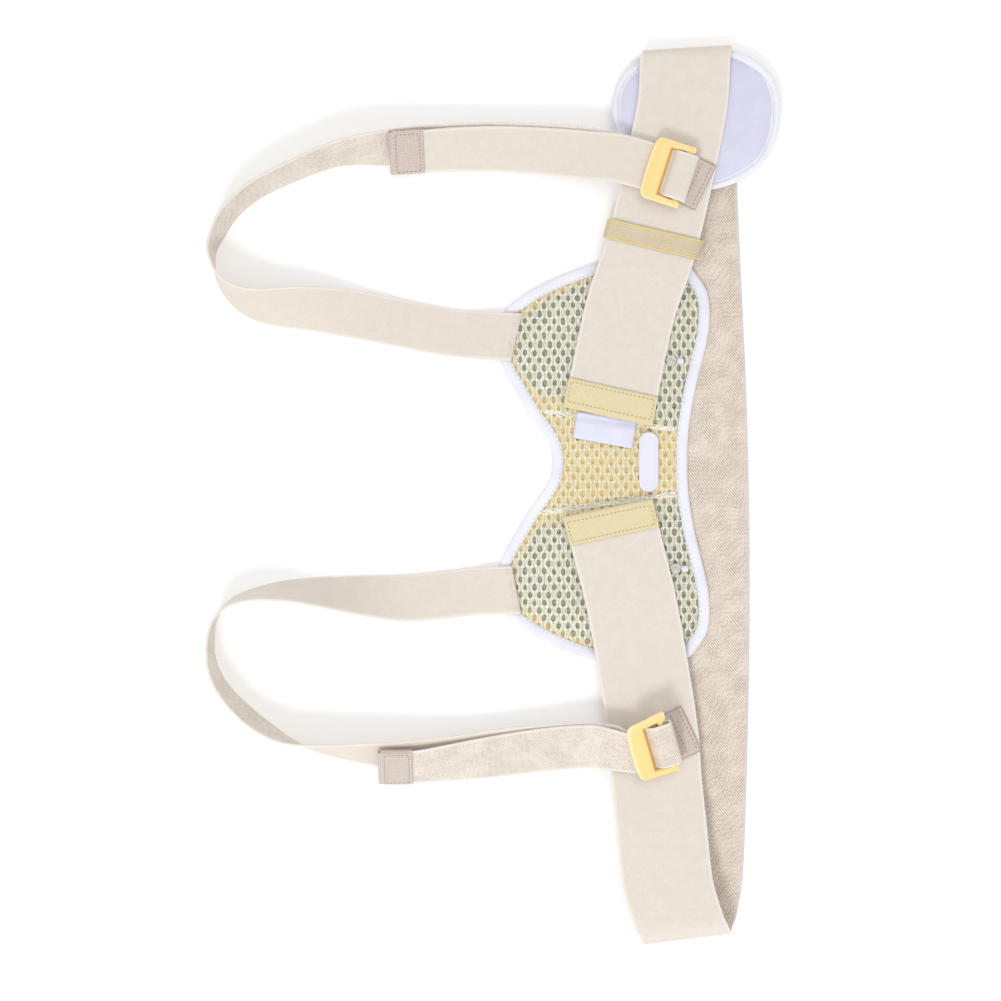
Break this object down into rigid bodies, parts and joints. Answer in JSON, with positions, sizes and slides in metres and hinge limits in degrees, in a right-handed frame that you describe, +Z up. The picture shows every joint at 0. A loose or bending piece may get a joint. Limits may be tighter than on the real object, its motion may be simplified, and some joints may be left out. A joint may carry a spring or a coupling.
{
  "type": "hernia belt",
  "caption": "Hernia support belt laid flat: wide waist band, bow-tie mesh panel with padded pockets, leg straps with plastic slide buckles and a loose oval pad.",
  "frame": {"origin": "on the surface that the belt lies on, under the middle of its whole box", "axes": "+Z up from the surface, +Y along the waist loop towards the compression pad, +X from the leg loops towards the back run of the waist band"},
  "size_m": [0.3804, 0.5974, 0.0357],
  "materials": {
    "cream_webbing": "woven elastic, plain on one face and twilled on the other",
    "yellow_hook": "matte hook tape",
    "grey_hook": "matte hook tape with stitches",
    "keeper_elastic": "ribbed elastic",
    "spacer_mesh": "open knitted mesh",
    "white_binding": "smooth woven tape",
    "white_plastic": "satin",
    "clear_plastic": "clear and glossy",
    "yellow_plastic": "glossy moulded",
    "lavender_cloth": "brushed smooth cloth"
  },
  "bodies": {
    "root": {"waist_belt": "cream_webbing", "belt_tab_upper": "yellow_hook", "belt_tab_lower": "yellow_hook", "elastic_keeper": "keeper_elastic", "panel_mesh": "spacer_mesh", "panel_binding": "white_binding", "label": "white_binding", "oblong_plate": "white_plastic", "clear_stud_upper": "clear_plastic", "clear_stud_lower": "clear_plastic", "stud_pin_upper": "white_plastic", "stud_pin_lower": "white_plastic", "leg_strap_upper": "cream_webbing", "leg_strap_lower": "cream_webbing", "strap_tab_upper": "grey_hook", "strap_tab_lower": "grey_hook", "buckle_upper": "yellow_plastic", "buckle_lower": "yellow_plastic", "buckle_tab_upper": "grey_hook", "buckle_tab_lower": "grey_hook", "pad_cushion": "lavender_cloth", "pad_binding": "white_binding"}
  },
  "joints": []
}
